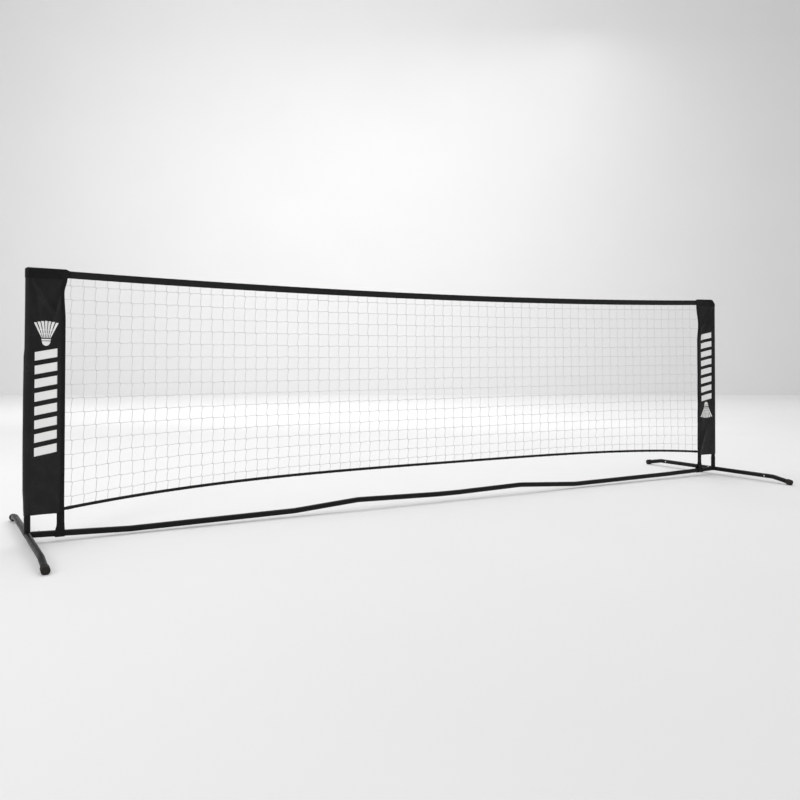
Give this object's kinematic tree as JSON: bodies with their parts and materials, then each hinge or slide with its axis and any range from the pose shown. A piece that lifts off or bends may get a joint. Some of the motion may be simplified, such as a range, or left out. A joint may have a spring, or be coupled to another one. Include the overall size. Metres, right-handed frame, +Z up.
{
  "type": "portable net stand",
  "caption": "Low free-standing net on a push-together tubular frame, with bent rubber-capped feet, sleeved side panels, a folded top band and square-mesh netting.",
  "frame": {"origin": "on the floor at the middle of the net, at the centre of the feet's footprint", "axes": "+X along the net, +Y to the back, +Z up"},
  "size_m": [3.024, 0.8326, 0.8265],
  "materials": {
    "powder_coat": "satin black powder coat",
    "zinc_steel": "zinc-plated tube",
    "bright_steel": "bright plated",
    "rubber": "matt moulded rubber",
    "plastic": "matt moulded plastic",
    "panel_cloth": "coated polyester oxford cloth",
    "webbing": "woven polyester webbing",
    "band_cloth": "folded and stitched polyester tape",
    "cord": "braided cord",
    "twine": "knotted polyethylene twine"
  },
  "bodies": {
    "frame": {"foot_tube_left": "powder_coat", "foot_tube_right": "powder_coat", "post_socket_left": "powder_coat", "post_socket_right": "powder_coat", "rail_spigot_left": "powder_coat", "rail_spigot_right": "powder_coat", "arm_rivets_left": "bright_steel", "arm_rivets_right": "bright_steel", "rail_outer_left": "powder_coat", "rail_inner_left": "powder_coat", "rail_inner_right": "powder_coat", "rail_outer_right": "powder_coat", "rail_coupler_left": "zinc_steel", "rail_coupler_middle": "zinc_steel", "rail_coupler_right": "zinc_steel", "button_springs": "bright_steel", "post_left": "powder_coat", "post_right": "powder_coat", "post_cap_left": "plastic", "post_cap_right": "plastic", "side_panel_left": "panel_cloth", "side_panel_right": "panel_cloth", "panel_hem_left": "panel_cloth", "panel_hem_right": "panel_cloth", "edge_webbing_left": "webbing", "edge_webbing_right": "webbing", "rail_strap_left": "webbing", "rail_strap_right": "webbing", "top_band": "band_cloth", "headline_cord": "cord", "netting": "twine", "bottom_cord": "cord"},
    "arm_front_left": {"foot_arm_front_left": "powder_coat", "foot_cap_front_left": "rubber"},
    "arm_back_left": {"foot_arm_back_left": "powder_coat", "foot_cap_back_left": "rubber"},
    "arm_front_right": {"foot_arm_front_right": "powder_coat", "foot_cap_front_right": "rubber"},
    "arm_back_right": {"foot_arm_back_right": "powder_coat", "foot_cap_back_right": "rubber"},
    "foot_button_left": {"foot_button_left": "bright_steel"},
    "foot_button_right": {"foot_button_right": "bright_steel"},
    "rail_button_left": {"rail_button_left": "bright_steel"},
    "rail_button_middle": {"rail_button_middle": "bright_steel"},
    "rail_button_right": {"rail_button_right": "bright_steel"},
    "post_button_left": {"post_button_left": "bright_steel"},
    "post_button_right": {"post_button_right": "bright_steel"},
    "strap_tab_left": {"strap_tab_left": "webbing"},
    "strap_tab_right": {"strap_tab_right": "webbing"}
  },
  "joints": [
    {"name": "arm_front_left_slide", "type": "slide", "parent": "frame", "child": "arm_front_left", "axis": [0, -1, 0], "range_m": [0, 0.03]},
    {"name": "arm_back_left_slide", "type": "slide", "parent": "frame", "child": "arm_back_left", "axis": [0, 1, 0], "range_m": [0, 0.03]},
    {"name": "arm_front_right_slide", "type": "slide", "parent": "frame", "child": "arm_front_right", "axis": [0, -1, 0], "range_m": [0, 0.03]},
    {"name": "arm_back_right_slide", "type": "slide", "parent": "frame", "child": "arm_back_right", "axis": [0, 1, 0], "range_m": [0, 0.03]},
    {"name": "foot_button_left_press", "type": "slide", "parent": "frame", "child": "foot_button_left", "axis": [-0.0366, 0, -0.9993], "range_m": [0, 0.003], "stiffness_N_per_m": 800, "springref_m": -0.001},
    {"name": "foot_button_right_press", "type": "slide", "parent": "frame", "child": "foot_button_right", "axis": [0.02, 0, -0.9998], "range_m": [0, 0.003], "stiffness_N_per_m": 800, "springref_m": -0.001},
    {"name": "rail_button_left_press", "type": "slide", "parent": "frame", "child": "rail_button_left", "axis": [0, -1, 0], "range_m": [0, 0.003], "stiffness_N_per_m": 800, "springref_m": -0.001},
    {"name": "rail_button_middle_press", "type": "slide", "parent": "frame", "child": "rail_button_middle", "axis": [0, -1, 0], "range_m": [0, 0.003], "stiffness_N_per_m": 800, "springref_m": -0.001},
    {"name": "rail_button_right_press", "type": "slide", "parent": "frame", "child": "rail_button_right", "axis": [0, -1, 0], "range_m": [0, 0.003], "stiffness_N_per_m": 800, "springref_m": -0.001},
    {"name": "post_button_left_press", "type": "slide", "parent": "frame", "child": "post_button_left", "axis": [0, -1, 0], "range_m": [0, 0.003], "stiffness_N_per_m": 800, "springref_m": -0.001},
    {"name": "post_button_right_press", "type": "slide", "parent": "frame", "child": "post_button_right", "axis": [0, -1, 0], "range_m": [0, 0.003], "stiffness_N_per_m": 800, "springref_m": -0.001},
    {"name": "strap_tab_left_peel", "type": "hinge", "parent": "frame", "child": "strap_tab_left", "pos_m": [-1.4058, -0.00175, 0.05257], "axis": [1, 0, 0], "range_deg": [0, 110]},
    {"name": "strap_tab_right_peel", "type": "hinge", "parent": "frame", "child": "strap_tab_right", "pos_m": [1.4058, -0.00175, 0.05257], "axis": [1, 0, 0], "range_deg": [0, 110]}
  ]
}
